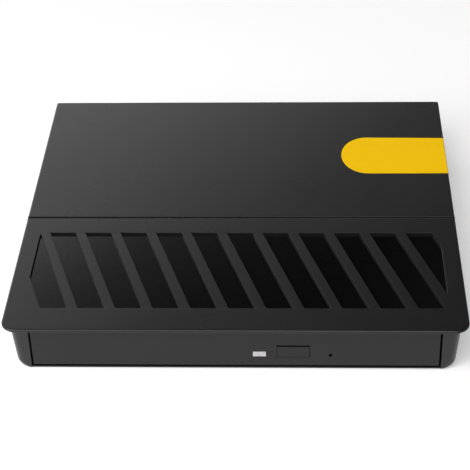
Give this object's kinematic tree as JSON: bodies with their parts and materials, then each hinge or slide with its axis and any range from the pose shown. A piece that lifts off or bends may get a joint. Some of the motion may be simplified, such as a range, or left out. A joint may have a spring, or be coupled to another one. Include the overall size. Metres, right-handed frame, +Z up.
{
  "type": "external optical disc drive",
  "caption": "Flat rectangular external disc drive: matte black lid with slanted ribs over gloss panels, yellow inlay, and a pull-out tray with pickup and spindle.",
  "frame": {"origin": "bottom centre of the bounding box, on the plane that the feet stand on", "axes": "+X to the right seen from the bezel, +Y to the back, +Z up; the tray opens along -Y"},
  "size_m": [0.145, 0.137, 0.0179],
  "materials": {
    "matte_black": "finely textured moulded plastic, matte",
    "gloss_black": "polished plastic",
    "yellow": "smooth coloured plastic, satin",
    "dark_shell": "smooth moulded plastic, satin",
    "rubber": "soft moulded rubber, matte",
    "led_white": "milky light pipe, satin",
    "tray_black": "fine moulded texture, satin",
    "white_plastic": "natural white acetal, satin",
    "bright_steel": "smooth bright steel",
    "zinc_sheet": "galvanised sheet, satin",
    "copper_coil": "enamelled copper winding in a steel yoke",
    "circuit_board": "solder mask, satin",
    "chip_black": "moulded chip package, matte",
    "flex_amber": "polyimide film, satin",
    "lens_glass": "coated clear lens"
  },
  "bodies": {
    "case": {"top_shell": "matte_black", "grille_panel": "gloss_black", "accent_inlay": "yellow", "bottom_shell": "dark_shell", "foot_front_left": "rubber", "foot_front_right": "rubber", "foot_rear_left": "rubber", "foot_rear_right": "rubber", "case_screw_front_left": "bright_steel", "case_screw_front_right": "bright_steel", "case_screw_rear_left": "bright_steel", "case_screw_rear_right": "bright_steel", "bridge_board": "circuit_board", "bridge_chip": "chip_black", "usb_socket_shell": "bright_steel", "usb_socket_tongue": "chip_black", "board_link": "white_plastic", "drive_chassis": "zinc_sheet", "drive_cover": "zinc_sheet", "rail_guide_left": "white_plastic", "rail_guide_right": "white_plastic", "drive_board": "circuit_board", "controller_chip": "chip_black", "motor_driver_chip": "chip_black", "flex_connector": "white_plastic", "flex_fixed_run": "flex_amber"},
    "rails": {"slide_rail_left": "bright_steel", "slide_rail_right": "bright_steel", "flex_loop": "flex_amber"},
    "tray": {"tray": "tray_black", "front_bezel": "dark_shell", "led_light_pipe": "led_white", "tray_bottom_cover": "zinc_sheet", "front_board": "circuit_board", "eject_switch": "chip_black", "latch_solenoid": "copper_coil", "traverse_plate": "zinc_sheet", "traverse_cover": "bright_steel", "spindle_motor_base": "zinc_sheet", "guide_rod_main": "bright_steel", "guide_rod_aux": "bright_steel", "feed_motor": "bright_steel", "flex_tail": "flex_amber"},
    "eject_button": {"eject_button": "dark_shell"},
    "latch": {"latch_lever": "white_plastic"},
    "spindle": {"turntable": "tray_black", "turntable_ring": "rubber"},
    "claw_1": {"hub_claw_1": "bright_steel"},
    "claw_2": {"hub_claw_2": "bright_steel"},
    "claw_3": {"hub_claw_3": "bright_steel"},
    "sled": {"pickup_sled": "zinc_sheet", "feed_nut": "white_plastic"},
    "lens": {"lens_holder": "chip_black", "objective_lens": "lens_glass"},
    "leadscrew": {"leadscrew": "bright_steel"}
  },
  "joints": [
    {"name": "tray_slide", "type": "slide", "parent": "case", "child": "tray", "axis": [0, -1, 0], "range_m": [0, 0.13]},
    {"name": "rail_slide", "type": "slide", "parent": "case", "child": "rails", "axis": [0, -1, 0], "range_m": [0, 0.065]},
    {"name": "eject_button_press", "type": "slide", "parent": "tray", "child": "eject_button", "axis": [0, 1, 0], "range_m": [0, 0.0006], "stiffness_N_per_m": 400, "springref_m": -0.001},
    {"name": "latch_swing", "type": "hinge", "parent": "tray", "child": "latch", "pos_m": [0.0515, -0.0545, 0.0065], "axis": [0, 0, 1], "range_deg": [0, 8], "stiffness_Nm_per_rad": 0.005, "springref_deg": -2.86},
    {"name": "spindle_spin", "type": "hinge", "parent": "tray", "child": "spindle", "pos_m": [0, 0.0006, 0.009], "axis": [0, 0, 1], "continuous": true},
    {"name": "sled_slide", "type": "slide", "parent": "tray", "child": "sled", "axis": [-0.7071, -0.7071, 0], "range_m": [0, 0.033]},
    {"name": "leadscrew_spin", "type": "hinge", "parent": "tray", "child": "leadscrew", "pos_m": [-0.00566, -0.03617, 0.0069], "axis": [0.7071, 0.7071, 0], "range_deg": [-10, 3970]},
    {"name": "lens_focus", "type": "slide", "parent": "sled", "child": "lens", "axis": [0, 0, 1], "range_m": [-0.0003, 0.0003], "stiffness_N_per_m": 40},
    {"name": "claw_1_slide", "type": "slide", "parent": "spindle", "child": "claw_1", "axis": [0.7071, 0.7071, 0], "range_m": [-0.0008, 0], "stiffness_N_per_m": 500, "springref_m": 0.0003},
    {"name": "claw_2_slide", "type": "slide", "parent": "spindle", "child": "claw_2", "axis": [-0.9659, 0.2588, 0], "range_m": [-0.0008, 0], "stiffness_N_per_m": 500, "springref_m": 0.0003},
    {"name": "claw_3_slide", "type": "slide", "parent": "spindle", "child": "claw_3", "axis": [0.2588, -0.9659, 0], "range_m": [-0.0008, 0], "stiffness_N_per_m": 500, "springref_m": 0.0003}
  ],
  "couplings": [
    {"joint": "rail_slide", "follows": "tray_slide", "ratio": 0.5},
    {"joint": "leadscrew_spin", "follows": "sled_slide", "rad_per_m": 2094.4},
    {"joint": "claw_2_slide", "follows": "claw_1_slide", "ratio": 1},
    {"joint": "claw_3_slide", "follows": "claw_1_slide", "ratio": 1}
  ]
}
